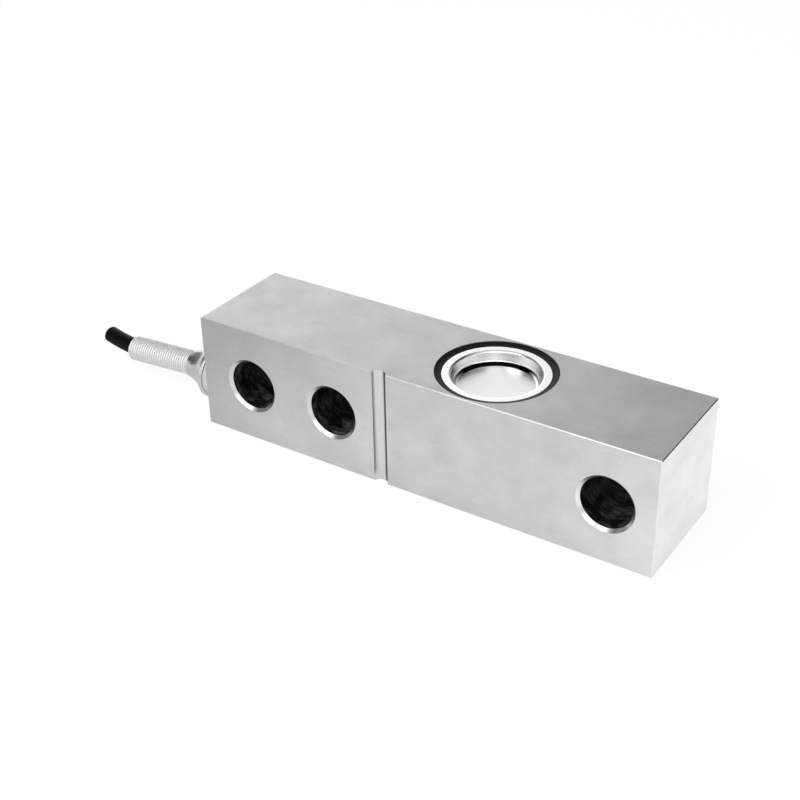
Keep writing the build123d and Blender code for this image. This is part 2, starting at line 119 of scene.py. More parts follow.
def polyurethane_jacket():
    """Extruded black polyurethane: nearly matt, with drag lines along the cable and a dusty bloom."""
    material, tree, shader = new_material("extruded_polyurethane")
    place = add(tree, "ShaderNodeTexCoord").outputs["Object"]
    stretch = (1 / DRAG_LENGTH, 1 / DRAG_WIDTH, 1 / DRAG_WIDTH)
    drag = add(tree, "ShaderNodeMapping", {"Vector": place, "Scale": stretch})
    lines = add(tree, "ShaderNodeTexNoise", {"Vector": drag.outputs[0], "Scale": 1.0, "Detail": 3.0})
    bloom = add(tree, "ShaderNodeTexNoise", {"Vector": place, "Scale": 1 / (2.5 * MM), "Detail": 4.0})
    colour = add(tree, "ShaderNodeValToRGB", {"Fac": bloom.outputs["Fac"]})
    colour.color_ramp.elements[0].color = linear("#030303")
    colour.color_ramp.elements[1].color = linear("#0B0B0C")
    rough = add(tree, "ShaderNodeMapRange", {"Value": lines.outputs["Fac"], "To Min": 0.3, "To Max": 0.45})
    shader.inputs["Specular IOR Level"].default_value = 0.06
    bump = add(
        tree, "ShaderNodeBump", {"Height": lines.outputs["Fac"], "Strength": 0.25, "Distance": 0.05 * MM}
    )
    tree.links.new(colour.outputs[0], shader.inputs["Base Color"])
    tree.links.new(rough.outputs[0], shader.inputs["Roughness"])
    tree.links.new(bump.outputs[0], shader.inputs["Normal"])
    return material


def mesh_object(name, mesh, material):
    """Links a finished mesh into the scene with one material."""
    mesh.materials.clear()
    mesh.materials.append(material)
    piece = bpy.data.objects.new(name, mesh)
    bpy.context.scene.collection.objects.link(piece)
    return piece


def plain_copy(piece):
    """The piece as it looks with its modifiers, as a mesh of its own."""
    bpy.context.view_layer.update()
    graph = bpy.context.evaluated_depsgraph_get()
    return bpy.data.meshes.new_from_object(piece.evaluated_get(graph), depsgraph=graph)


def smooth_line(points):
    """Points along the smooth curve that takes these as its control points."""
    curve = bpy.data.curves.new("line", "CURVE")
    curve.dimensions = "3D"
    curve.resolution_u = 16
    spline = curve.splines.new("NURBS")
    spline.points.add(len(points) - 1)
    for target, point in zip(spline.points, points):
        target.co = (*point, 1.0)
    spline.order_u = 3
    spline.use_endpoint_u = True
    line = bpy.data.objects.new("line", curve)
    bpy.context.scene.collection.objects.link(line)
    stations = [vertex.co.copy() for vertex in plain_copy(line).vertices]
    bpy.data.objects.remove(line)
    return stations


def pipe(name, stations, outer, inner, sides):
    """A pipe round a line of points, with flat ends, as a mesh."""
    shape = bmesh.new()
    rings = []
    for i, station in enumerate(stations):
        ahead = stations[min(i + 1, len(stations) - 1)] - stations[max(i - 1, 0)]
        across = ahead.cross(Vector((0, 0, 1))).normalized()
        upward = across.cross(ahead).normalized()
        for radius in (outer, inner):
            ring = []
            for k in range(sides):
                angle = math.tau * k / sides
                spoke = math.cos(angle) * across + math.sin(angle) * upward
                ring.append(shape.verts.new(station + radius * spoke))
            rings.append(ring)
    pairs = [(rings[i], rings[i + 2]) for i in range(0, len(rings) - 2, 2)]
    pairs += [(rings[i + 2], rings[i]) for i in range(1, len(rings) - 2, 2)]
    pairs += [(rings[1], rings[0]), (rings[-2], rings[-1])]
    for low, high in pairs:
        for k in range(sides):
            n = (k + 1) % sides
            shape.faces.new((low[k], low[n], high[n], high[k]))
    bmesh.ops.recalc_face_normals(shape, faces=shape.faces)
    mesh = bpy.data.meshes.new(name)
    shape.to_mesh(mesh)
    shape.free()
    mesh.shade_smooth()
    mesh.set_sharp_from_angle(angle=math.radians(40))
    return mesh


cable_line = smooth_line(CABLE_ROUTE)
jacket = mesh_object(
    "cable_sheath",
    pipe("cable_sheath", cable_line, CABLE_DIAMETER / 2, CABLE_DIAMETER / 2 - JACKET_WALL, JACKET_SIDES),
    polyurethane_jacket(),
)
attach(jacket, "root")
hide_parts("cable_jacket")

# Braid
# The cable's screen: tinned copper wires braided over the cores, seen only at the cut end.
# It shields the cores from stray signals.
BRAID_PITCH = 0.35 * MM
BRAID_ANGLE = math.radians(35)


def tinned_braid():
    """Tinned copper braid: soft silver wires that cross, with dark gaps between them."""
    material, tree, shader = new_material("tinned_copper_braid")
    place = add(tree, "ShaderNodeTexCoord").outputs["Object"]
    bands = []
    for angle in (BRAID_ANGLE, -BRAID_ANGLE):
        turned = add(tree, "ShaderNodeMapping", {"Vector": place, "Rotation": (0, angle, angle)})
        wires = {"Vector": turned.outputs[0], "Scale": 0.5 / BRAID_PITCH, "Distortion": 0.4}
        bands.append(add(tree, "ShaderNodeTexWave", wires))
    weave = add(
        tree,
        "ShaderNodeMath",
        {0: bands[0].outputs["Fac"], 1: bands[1].outputs["Fac"]},
        operation="MAXIMUM",
    )
    colour = add(tree, "ShaderNodeValToRGB", {"Fac": weave.outputs[0]})
    colour.color_ramp.elements[0].color = linear("#6E6A62")
    colour.color_ramp.elements[1].color = linear("#C9C6BF")
    bump = add(tree, "ShaderNodeBump", {"Height": weave.outputs[0], "Strength": 0.6, "Distance": 0.08 * MM})
    shader.inputs["Metallic"].default_value = 1.0
    shader.inputs["Roughness"].default_value = 0.35
    tree.links.new(colour.outputs[0], shader.inputs["Base Color"])
    tree.links.new(bump.outputs[0], shader.inputs["Normal"])
    return material


def dress(node, material):
    """Gives a node of the frame its finish."""
    piece = frame["nodes"][node]
    piece.data.materials.clear()
    piece.data.materials.append(material)
    return piece


dress("cable_shield", tinned_braid())

# Cores
# Four copper cores in coloured insulation that run from the cut end to the terminal board.
# The conductors' cut strands show as bright copper dots in the middle of each core.
CORE_COLOURS = {
    "core_red": ("#B02A26", "#C23A34"),
    "core_green": ("#1E7442", "#2B8A52"),
    "core_white": ("#DAD9D3", "#ECEBE6"),
    "core_black": ("#161617", "#232324"),
}
CORE_SHIFT = 0.56 * MM
STRAND_RADIUS = 0.09 * MM
STRANDS_ROUND = 6
STRAND_SIDES = 12
STRAND_LENGTH = 1.2 * MM
STRAND_PROUD = 0.04 * MM


def core_insulation(name, darker, paler):
    """Extruded core insulation: smooth coloured plastic, a little uneven in shade and gloss."""
    material, tree, shader = new_material("extruded_insulation_" + name.split("_")[-1])
    place = add(tree, "ShaderNodeTexCoord").outputs["Object"]
    shade = add(tree, "ShaderNodeTexNoise", {"Vector": place, "Scale": 1 / (1.5 * MM), "Detail": 2.0})
    colour = add(tree, "ShaderNodeValToRGB", {"Fac": shade.outputs["Fac"]})
    colour.color_ramp.elements[0].color = linear(darker)
    colour.color_ramp.elements[1].color = linear(paler)
    rough = add(tree, "ShaderNodeMapRange", {"Value": shade.outputs["Fac"], "To Min": 0.3, "To Max": 0.42})
    tree.links.new(colour.outputs[0], shader.inputs["Base Color"])
    tree.links.new(rough.outputs[0], shader.inputs["Roughness"])
    return material


def bare_copper():
    """Drawn copper wire: warm and bright where it is freshly cut, a little duller in spots."""
    material, tree, shader = new_material("drawn_copper_wire")
    place = add(tree, "ShaderNodeTexCoord").outputs["Object"]
    shade = add(tree, "ShaderNodeTexNoise", {"Vector": place, "Scale": 1 / (0.2 * MM), "Detail": 2.0})
    colour = add(tree, "ShaderNodeValToRGB", {"Fac": shade.outputs["Fac"]})
    colour.color_ramp.elements[0].color = linear("#A8643C")
    colour.color_ramp.elements[1].color = linear("#DE9B70")
    shader.inputs["Metallic"].default_value = 1.0
    shader.inputs["Roughness"].default_value = 0.3
    tree.links.new(colour.outputs[0], shader.inputs["Base Color"])
    return material


def geometry_tree(name, sizes):
    """An empty geometry tree with a mesh in, a mesh out and the named sizes as inputs."""
    tree = bpy.data.node_groups.new(name, "GeometryNodeTree")
    tree.interface.new_socket("Geometry", in_out="INPUT", socket_type="NodeSocketGeometry")
    for size, kind in sizes.items():
        tree.interface.new_socket(size, in_out="INPUT", socket_type=kind)
    tree.interface.new_socket("Geometry", in_out="OUTPUT", socket_type="NodeSocketGeometry")
    return tree, add(tree, "NodeGroupInput"), add(tree, "NodeGroupOutput")


def grown(name, tree, values, material, seeds=()):
    """The plain mesh that a geometry tree makes of some points, with these values for its inputs."""
    start = bpy.data.meshes.new(name)
    start.from_pydata([tuple(seed) for seed in seeds], [], [])
    holder = bpy.data.objects.new(name + "_seed", start)
    bpy.context.scene.collection.objects.link(holder)
    modifier = holder.modifiers.new("grow", "NODES")
    modifier.node_group = tree
    sockets = {item.name: item.identifier for item in tree.interface.items_tree if item.in_out == "INPUT"}
    for size, value in values.items():
        modifier[sockets[size]] = value
    mesh = plain_copy(holder)
    bpy.data.objects.remove(holder)
    mesh.name = name
    return mesh_object(name, mesh, material)


def strand_tree(material):
    """Round each seed point, one strand in the middle and a ring of strands, as short bars up Z."""
    tree, given, result = geometry_tree(
        "cut_strands",
        {
            "Strand radius": "NodeSocketFloat",
            "Strand length": "NodeSocketFloat",
            "Strands round": "NodeSocketInt",
        },
    )
    bar = add(
        tree,
        "GeometryNodeMeshCylinder",
        {
            "Vertices": STRAND_SIDES,
            "Radius": given.outputs["Strand radius"],
            "Depth": given.outputs["Strand length"],
        },
    )
    twice = add(tree, "ShaderNodeMath", {0: given.outputs["Strand radius"], 1: 2.0}, operation="MULTIPLY")
    circle = add(
        tree,
        "GeometryNodeMeshCircle",
        {"Vertices": given.outputs["Strands round"], "Radius": twice.outputs[0]},
    )
    middle = add(tree, "GeometryNodeMeshLine", {"Count": 1})
    places = add(tree, "GeometryNodeJoinGeometry")
    tree.links.new(circle.outputs[0], places.inputs[0])
    tree.links.new(middle.outputs[0], places.inputs[0])
    bundle = add(
        tree,
        "GeometryNodeInstanceOnPoints",
        {"Points": places.outputs[0], "Instance": bar.outputs[0]},
    )
    bundles = add(
        tree,
        "GeometryNodeInstanceOnPoints",
        {"Points": given.outputs["Geometry"], "Instance": bundle.outputs[0]},
    )
    solid = add(tree, "GeometryNodeRealizeInstances", {0: bundles.outputs[0]})
    finish = add(tree, "GeometryNodeSetMaterial", {"Geometry": solid.outputs[0], "Material": material})
    tree.links.new(finish.outputs[0], result.inputs[0])
    return tree


for core, (darker, paler) in CORE_COLOURS.items():
    dress(core, core_insulation(core, darker, paler))

copper = bare_copper()
core_places = [(x * CORE_SHIFT, y * CORE_SHIFT, 0.0) for x in (-1, 1) for y in (-1, 1)]
strands = grown(
    "cut_strands",
    strand_tree(copper),
    {"Strand radius": STRAND_RADIUS, "Strand length": STRAND_LENGTH, "Strands round": STRANDS_ROUND},
    copper,
    core_places,
)
cut = CABLE_ROUTE[-1]
cut_turn = (cut - CABLE_ROUTE[-2]).to_track_quat("Z", "Y").to_matrix().to_4x4()
sunk = Matrix.Translation((0, 0, STRAND_PROUD - STRAND_LENGTH / 2))
strands.data.transform(Matrix.Translation(cut) @ cut_turn @ sunk)
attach(strands, "root")

# Beam
# The load cell's body: one bar of alloy steel, sawn, ground on six faces and nickel plated.
# Its bolt holes are bored, and their walls are painted nearly black: painted shade inside the holes. Their
# mouths are countersunk bright, the relief groove is milled and has painted shade inside its rim on the +X
# side, and the bar's edges are stoned.
CLOUD = 9 * MM
GRIND_LENGTH = 7 * MM
GRIND_WIDTH = 0.35 * MM
FEED_MARK = 0.8 * MM
EDGE_BREAK = 0.2 * MM
HOLE_CHAMFER = 0.8 * MM
GROOVE_X = -9.1 * MM
GROOVE_WIDTH = 4 * MM
GROOVE_DEPTH = 1.5 * MM
# A face closer to a surface than this lies on it
SKIN = 0.01 * MM
# How far the groove's painted shade reaches in from its rim on the +X side
GROOVE_SHADE_WIDTH = 1.7 * MM


def ground_nickel_plate():
    """Ground and nickel plated steel: satin grey, faint grinding lines along the bar, cloudy patches."""
    material, tree, shader = new_material("ground_nickel_plate")
    place = add(tree, "ShaderNodeTexCoord").outputs["Object"]
    along = (1 / GRIND_LENGTH, 1 / GRIND_WIDTH, 1 / GRIND_WIDTH)
    across = (1 / GRIND_WIDTH, 1 / GRIND_LENGTH, 1 / GRIND_WIDTH)
    stretches = [
        add(tree, "ShaderNodeMapping", {"Vector": place, "Scale": scale})
        for scale in (along, across)
    ]
    lines = [
        add(tree, "ShaderNodeTexNoise", {"Vector": stretch.outputs[0], "Scale": 1.0, "Detail": 4.0})
        for stretch in stretches
    ]
    normal = add(tree, "ShaderNodeSeparateXYZ", {0: add(tree, "ShaderNodeNewGeometry").outputs["Normal"]})
    on_end = add(tree, "ShaderNodeMath", {0: normal.outputs["X"]}, operation="ABSOLUTE")
    grain = add(
        tree,
        "ShaderNodeMix",
        {0: on_end.outputs[0], 2: lines[0].outputs["Fac"], 3: lines[1].outputs["Fac"]},
    )
    cloud = add(
        tree,
        "ShaderNodeTexNoise",
        {"Vector": place, "Scale": 1 / CLOUD, "Detail": 5.0, "Roughness": 0.6},
    )
    speck = add(tree, "ShaderNodeTexNoise", {"Vector": place, "Scale": 1 / (0.7 * MM), "Detail": 2.0})
    tone = add(tree, "ShaderNodeMix", {0: 0.3, 2: cloud.outputs["Fac"], 3: grain.outputs[0]})
    tone = add(tree, "ShaderNodeMix", {0: 0.15, 2: tone.outputs[0], 3: speck.outputs["Fac"]})
    colour = add(tree, "ShaderNodeValToRGB", {"Fac": tone.outputs[0]})
    colour.color_ramp.elements[0].position = 0.3
    colour.color_ramp.elements[0].color = linear("#BDBDBB")
    colour.color_ramp.elements[1].position = 0.7
    colour.color_ramp.elements[1].color = linear("#CECECC")
    rough = add(tree, "ShaderNodeMapRange", {"Value": tone.outputs[0], "From Min": 0.3, "From Max": 0.7})
    rough.inputs["To Min"].default_value = 0.44
    rough.inputs["To Max"].default_value = 0.36
    bump = add(tree, "ShaderNodeBump", {"Height": grain.outputs[0], "Strength": 0.12, "Distance": 0.02 * MM})
    shader.inputs["Metallic"].default_value = 1.0
    tree.links.new(colour.outputs[0], shader.inputs["Base Color"])
    tree.links.new(rough.outputs[0], shader.inputs["Roughness"])
    tree.links.new(bump.outputs[0], shader.inputs["Normal"])
    return material


def bore_steel_painted_shade():
    """Bored alloy steel with painted shade: nearly black, as inside a hole, with grey rubs along the feed
    marks.
    """
    material, tree, shader = new_material("bore_steel_painted_shade")
    place = add(tree, "ShaderNodeTexCoord").outputs["Object"]
    rings = add(
        tree,
        "ShaderNodeMapping",
        {"Vector": place, "Scale": (1 / (3 * MM), 1 / FEED_MARK, 1 / (3 * MM))},
    )
    marks = add(
        tree,
        "ShaderNodeTexNoise",
        {"Vector": rings.outputs[0], "Scale": 1.0, "Detail": 4.0, "Roughness": 0.7},
    )
    rub = add(tree, "ShaderNodeTexNoise", {"Vector": place, "Scale": 1 / (5 * MM), "Detail": 3.0})
    both = add(tree, "ShaderNodeMath", {0: marks.outputs["Fac"], 1: rub.outputs["Fac"]}, operation="MULTIPLY")
    # Near black painted shade, grey only where both noises are high
    colour = add(tree, "ShaderNodeValToRGB", {"Fac": both.outputs[0]})
    colour.color_ramp.elements[0].position = 0.22
    colour.color_ramp.elements[0].color = linear("#0C0C0C")
    colour.color_ramp.elements[1].position = 0.5
    colour.color_ramp.elements[1].color = linear("#8A8A88")
    embossed = {"Height": marks.outputs["Fac"], "Strength": 0.4, "Distance": 0.05 * MM}
    bump = add(tree, "ShaderNodeBump", embossed)
    shader.inputs["Metallic"].default_value = 0.6
    shader.inputs["Roughness"].default_value = 0.5
    tree.links.new(colour.outputs[0], shader.inputs["Base Color"])
    tree.links.new(bump.outputs[0], shader.inputs["Normal"])
    return material


def countersunk_steel():
    """Countersunk steel: bright, with fine rings that the cutter leaves round the hole."""
    material, tree, shader = new_material("countersunk_steel")
    place = add(tree, "ShaderNodeTexCoord").outputs["Object"]
    cut = add(tree, "ShaderNodeTexNoise", {"Vector": place, "Scale": 1 / (0.5 * MM), "Detail": 3.0})
    colour = add(tree, "ShaderNodeValToRGB", {"Fac": cut.outputs["Fac"]})
    colour.color_ramp.elements[0].color = linear("#C4C4C2")
    colour.color_ramp.elements[1].color = linear("#DADAD8")
    rough = add(tree, "ShaderNodeMapRange", {"Value": cut.outputs["Fac"], "To Min": 0.26, "To Max": 0.34})
    shader.inputs["Metallic"].default_value = 1.0
    tree.links.new(colour.outputs[0], shader.inputs["Base Color"])
    tree.links.new(rough.outputs[0], shader.inputs["Roughness"])
    return material


def stoned_edge():
    """Steel edge broken with a fine stone: a narrow satin line that shows light or dark as it turns."""
    material, tree, shader = new_material("stoned_steel_edge")
    place = add(tree, "ShaderNodeTexCoord").outputs["Object"]
    nick = add(tree, "ShaderNodeTexNoise", {"Vector": place, "Scale": 1 / (5 * MM), "Detail": 2.0})
    colour = add(tree, "ShaderNodeValToRGB", {"Fac": nick.outputs["Fac"]})
    colour.color_ramp.elements[0].color = linear("#BABAB8")
    colour.color_ramp.elements[1].color = linear("#DCDCDA")
    rough = add(tree, "ShaderNodeMapRange", {"Value": nick.outputs["Fac"], "To Min": 0.28, "To Max": 0.34})
    shader.inputs["Metallic"].default_value = 1.0
    tree.links.new(colour.outputs[0], shader.inputs["Base Color"])
    tree.links.new(rough.outputs[0], shader.inputs["Roughness"])
    return material


def milled_groove_steel():
    """Milled steel: cutter lines down the groove, and painted shade, a dark band inside its rim on the +X
    side.
    """
    material, tree, shader = new_material("milled_groove_steel")
    place = add(tree, "ShaderNodeTexCoord").outputs["Object"]
    stretch = add(tree, "ShaderNodeMapping", {"Vector": place, "Scale": (1 / (0.5 * MM), 1, 1 / (12 * MM))})
    lines = add(tree, "ShaderNodeTexNoise", {"Vector": stretch.outputs[0], "Scale": 1.0, "Detail": 3.0})
    across = add(tree, "ShaderNodeSeparateXYZ", {0: place})
    # The band of painted shade inside the groove's rim on the +X side, dark grey where it is full
    rim = add(
        tree,
        "ShaderNodeMapRange",
        {
            "Value": across.outputs["X"],
            "From Min": GROOVE_X + GROOVE_WIDTH / 2 - GROOVE_SHADE_WIDTH,
            "From Max": GROOVE_X + GROOVE_WIDTH / 2 - GROOVE_SHADE_WIDTH * 0.75,
        },
    )
    steel = add(tree, "ShaderNodeValToRGB", {"Fac": lines.outputs["Fac"]})
    steel.color_ramp.elements[0].color = linear("#BEBEBC")
    steel.color_ramp.elements[1].color = linear("#DDDDDB")
    colour = add(
        tree,
        "ShaderNodeMix",
        {0: rim.outputs[0], 6: steel.outputs[0], 7: linear("#4E4D4A")},
        data_type="RGBA",
    )
    shader.inputs["Metallic"].default_value = 1.0
    shader.inputs["Roughness"].default_value = 0.34
    tree.links.new(colour.outputs[2], shader.inputs["Base Color"])
    return material


def seamless_copy(node, name):
    """A copy of a node's mesh with its triangles joined, smooth across its round faces alone."""
    mesh = frame["nodes"][node].data.copy()
    mesh.name = name
    shape = bmesh.new()
    shape.from_mesh(mesh)
    bmesh.ops.remove_doubles(shape, verts=shape.verts, dist=0.001 * MM)
    shape.to_mesh(mesh)
    shape.free()
    if mesh.has_custom_normals:
        mesh.attributes.remove(mesh.attributes["custom_normal"])
    mesh.shade_smooth()
    mesh.set_sharp_from_angle(angle=math.radians(25))
    return mesh


beam = mesh_object("ground_beam", seamless_copy("beam_body", "ground_beam"), ground_nickel_plate())
for finish in (bore_steel_painted_shade(), countersunk_steel(), stoned_edge(), milled_groove_steel()):
    beam.data.materials.append(finish)
BORE_WALL, COUNTERSINK, EDGE, GROOVE = 1, 2, 3, 4
bores = [mount for mount in frame["record"]["mounts"] if mount["kind"] == "bore"]
beam_low, beam_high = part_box("beam_body")
for face in beam.data.polygons:
    depths = [min(face.center[i] - beam_low[i], beam_high[i] - face.center[i]) for i in range(3)]
    in_line = abs(face.center.x - GROOVE_X) < GROOVE_WIDTH / 2
    if sum(depth < EDGE_BREAK for depth in depths) > 1:
        face.material_index = EDGE
    elif in_line and SKIN < face.center.y - beam_low.y < GROOVE_DEPTH:
        face.material_index = GROOVE
    for bore in bores:
        x, _, z = bore["pos_m"]
        wall = math.hypot(face.center.x - x, face.center.z - z) - bore["dims"]["r_mm"] * MM
        if wall < 2 * SKIN and abs(face.normal.y) < 0.1:
            face.material_index = BORE_WALL
        elif wall < HOLE_CHAMFER and 0.5 < abs(face.normal.y) < 0.9:
            face.material_index = COUNTERSINK
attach(beam, "root")
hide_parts("beam_body")

# Seal cups
# Two cups deep drawn from thin stainless sheet that close the gauge pockets, one from each side.
# Each flange is welded on the pocket's ledge and left bright.
CUP_SHEET = 0.5 * MM
CUP_MOUTH = 11.2 * MM
CUP_FLOOR = 10.7 * MM
CUP_DEPTH = 3.3 * MM
CUP_RIM_BEND = 0.6 * MM
CUP_FLOOR_BEND = 1.4 * MM
# The cup corner's painted shade: the side it darkens, and how far from the middle it starts and is full
SHADE_SIDE = Vector((-0.52, 0.85, 0))
SHADE_START = 4 * MM
SHADE_FULL = 7 * MM
LATHE_SIDES = 160


def rounded(corners, radii, steps):
    """An outline with an arc at each corner that has a radius, as points of radius and height."""
    outline = []
    for i, (corner, radius) in enumerate(zip(corners, radii)):
        corner = Vector(corner)
        if not radius:
            outline.append(corner)
            continue
        back = (Vector(corners[i - 1]) - corner).normalized()
        ahead = (Vector(corners[(i + 1) % len(corners)]) - corner).normalized()
        half = back.angle(ahead) / 2
        centre = corner + (back + ahead).normalized() * radius / math.sin(half)
        start = corner + back * radius / math.tan(half) - centre
        swing = math.pi - 2 * half
        side = 1 if start.x * (corner - centre).y - start.y * (corner - centre).x > 0 else -1
        for k in range(steps + 1):
            angle = side * swing * k / steps
            turned = Vector(
                (
                    start.x * math.cos(angle) - start.y * math.sin(angle),
                    start.x * math.sin(angle) + start.y * math.cos(angle),
                )
            )
            outline.append(centre + turned)
    return outline


def lathe(name, outline, sides):
    """Turns a closed outline of radius and height round Z, as a mesh."""
    shape = bmesh.new()
    rings = []
    for radius, height in outline:
        if radius < 0.001 * MM:
            rings.append([shape.verts.new((0, 0, height))])
            continue
        angles = [math.tau * k / sides for k in range(sides)]
        rings.append([shape.verts.new((radius * math.cos(a), radius * math.sin(a), height)) for a in angles])
    for low, high in zip(rings, rings[1:] + rings[:1]):
        for k in range(sides):
            n = (k + 1) % sides
            loop = [low[k % len(low)], low[n % len(low)], high[n % len(high)], high[k % len(high)]]
            loop = list(dict.fromkeys(loop))
            if len(loop) > 2:
                shape.faces.new(loop)
    bmesh.ops.recalc_face_normals(shape, faces=shape.faces)
    mesh = bpy.data.meshes.new(name)
    shape.to_mesh(mesh)
    shape.free()
    mesh.shade_smooth()
    mesh.set_sharp_from_angle(angle=math.radians(30))
    return mesh


def drawn_stainless(name, dull, dullest):
    """Deep drawn stainless steel sheet with soft clouding, between two roughnesses."""
    material, tree, shader = new_material(name)
    place = add(tree, "ShaderNodeTexCoord").outputs["Object"]
    cloud = add(tree, "ShaderNodeTexNoise", {"Vector": place, "Scale": 1 / (4 * MM), "Detail": 4.0})
    colour = add(tree, "ShaderNodeValToRGB", {"Fac": cloud.outputs["Fac"]})
    colour.color_ramp.elements[0].color = linear("#EFEFED")
    colour.color_ramp.elements[1].color = linear("#F7F7F5")
    dulling = {"Value": cloud.outputs["Fac"], "To Min": dull, "To Max": dullest}
    rough = add(tree, "ShaderNodeMapRange", dulling)
    shader.inputs["Metallic"].default_value = 1.0
    tree.links.new(colour.outputs[0], shader.inputs["Base Color"])
    tree.links.new(rough.outputs[0], shader.inputs["Roughness"])
    return material


def cup_corner_painted_shade(middle):
    """Stainless corner with painted shade: black towards one side of the cup, fading with a ragged edge."""
    material, tree, shader = new_material("painted_shade_in_cup_corner")
    place = add(tree, "ShaderNodeTexCoord").outputs["Object"]
    ragged = add(tree, "ShaderNodeTexNoise", {"Vector": place, "Scale": 1 / (3 * MM), "Detail": 2.0})
    from_middle = add(tree, "ShaderNodeVectorMath", {0: place, 1: middle}, operation="SUBTRACT")
    reach = add(
        tree,
        "ShaderNodeVectorMath",
        {0: from_middle.outputs[0], 1: SHADE_SIDE},
        operation="DOT_PRODUCT",
    )
    uneven = add(
        tree,
        "ShaderNodeMath",
        {0: ragged.outputs["Fac"], 1: 1.5 * MM, 2: reach.outputs["Value"]},
        operation="MULTIPLY_ADD",
    )
    shade_amount = add(
        tree,
        "ShaderNodeMapRange",
        {"Value": uneven.outputs[0], "From Min": SHADE_START, "From Max": SHADE_FULL},
    )
    # Black painted shade on the side towards +Y and a little -X, bare stainless elsewhere
    colour = add(tree, "ShaderNodeValToRGB", {"Fac": shade_amount.outputs[0]})
    colour.color_ramp.elements[0].color = linear("#EDEDEB")
    colour.color_ramp.elements[1].color = linear("#0B0B0B")
    shader.inputs["Metallic"].default_value = 1.0
    shader.inputs["Roughness"].default_value = 0.2
    tree.links.new(colour.outputs[0], shader.inputs["Base Color"])
    return material


def cup_outline(flange):
    """The cup's section from its flange to its middle and back under the sheet, rim at height zero."""
    upper = rounded(
        [(flange, 0), (CUP_MOUTH, 0), (CUP_FLOOR, -CUP_DEPTH), (0, -CUP_DEPTH)],
        [0, CUP_RIM_BEND, CUP_FLOOR_BEND, 0],
        10,
    )
    low = -CUP_DEPTH - CUP_SHEET
    under = rounded(
        [(0, low), (CUP_FLOOR + CUP_SHEET, low), (CUP_MOUTH + CUP_SHEET, -CUP_SHEET), (flange, -CUP_SHEET)],
        [0, CUP_FLOOR_BEND + CUP_SHEET, CUP_RIM_BEND - CUP_SHEET, 0],
        10,
    )
    return upper + under


ironed_wall = drawn_stainless("ironed_stainless_wall", 0.22, 0.26)
pressed_floor = drawn_stainless("pressed_stainless_floor", 0.3, 0.34)
# The corner material paints shade into each cup's floor bend, black on the side towards +Y
corner = cup_corner_painted_shade(sum(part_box("top_seal_cup"), Vector()) / 2)
for side, facing in (("top", 1), ("bottom", -1)):
    low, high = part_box(side + "_seal_cup")
    flange = (high.x - low.x) / 2
    rim = high.z if facing > 0 else low.z
    mesh = lathe(side + "_drawn_cup", cup_outline(flange), LATHE_SIDES)
    upright = Matrix.Identity(4) if facing > 0 else Matrix.Rotation(math.pi, 4, "X")
    mesh.transform(Matrix.Translation(((low.x + high.x) / 2, (low.y + high.y) / 2, rim)) @ upright)
    cup = mesh_object(side + "_drawn_cup", mesh, ironed_wall)
    cup.data.materials.append(pressed_floor)
    cup.data.materials.append(corner)
    for face in mesh.polygons:
        reach = math.hypot(face.center.x - (low.x + high.x) / 2, face.center.y - (low.y + high.y) / 2)
        height = (face.center.z - rim) * facing
        if reach < CUP_FLOOR - CUP_FLOOR_BEND and face.normal.z * facing > 0.99:
            face.material_index = 1
        elif reach < CUP_FLOOR and height < CUP_FLOOR_BEND - CUP_DEPTH and face.normal.z * facing > 0.02:
            face.material_index = 2
    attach(cup, "root")
    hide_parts(side + "_seal_cup")

# Sealant
# Black silicone run into the groove round each cup's flange, wet enough to climb both edges.
# It keeps water out of the gauge pocket, and has cured to a soft skin.


def black_silicone():
    """Cured silicone sealant: black with a soft shine and small ripples where it was run in."""
    material, tree, shader = new_material("cured_black_silicone")
    place = add(tree, "ShaderNodeTexCoord").outputs["Object"]
    ripple = add(tree, "ShaderNodeTexNoise", {"Vector": place, "Scale": 1 / (2 * MM), "Detail": 2.0})
    colour = add(tree, "ShaderNodeValToRGB", {"Fac": ripple.outputs["Fac"]})
    colour.color_ramp.elements[0].color = linear("#030303")
    colour.color_ramp.elements[1].color = linear("#0A0A0A")
    rough = add(tree, "ShaderNodeMapRange", {"Value": ripple.outputs["Fac"], "To Min": 0.4, "To Max": 0.55})
    shader.inputs["Specular IOR Level"].default_value = 0.2
    embossed = {"Height": ripple.outputs["Fac"], "Strength": 0.2, "Distance": 0.1 * MM}
    bump = add(tree, "ShaderNodeBump", embossed)
    tree.links.new(colour.outputs[0], shader.inputs["Base Color"])
    tree.links.new(rough.outputs[0], shader.inputs["Roughness"])
    tree.links.new(bump.outputs[0], shader.inputs["Normal"])
    return material


silicone = black_silicone()
for side in ("top", "bottom"):
    name = side + "_silicone_ring"
    ring = mesh_object(name, seamless_copy(side + "_sealant_ring", name), silicone)
    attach(ring, "root")
    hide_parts(side + "_sealant_ring")

# Gland
# The cable gland in the end face: rubber gasket, nickel plated hexagon body, rubber bush and a
# washer that the polished bell nut presses onto the cable.
BELL_NOSE = 3.9 * MM
BELL_BORE = 2.55 * MM
BELL_SKIRT_LENGTH = 1.0 * MM
BELL_FLARE = 16.0 * MM
BELL_EDGE_ROUND = 0.2 * MM
# The foot reaches this far past the frame's solid, and nearly closes the gap to the hexagon
BELL_FOOT = -0.12 * MM
BELL_SEAT = 3.55 * MM
BELL_SEAT_DEPTH = 1.2 * MM
BELL_MOUTH = 4.25 * MM
BELL_MOUTH_DEPTH = 3.9 * MM
FLARE_STEPS = 24


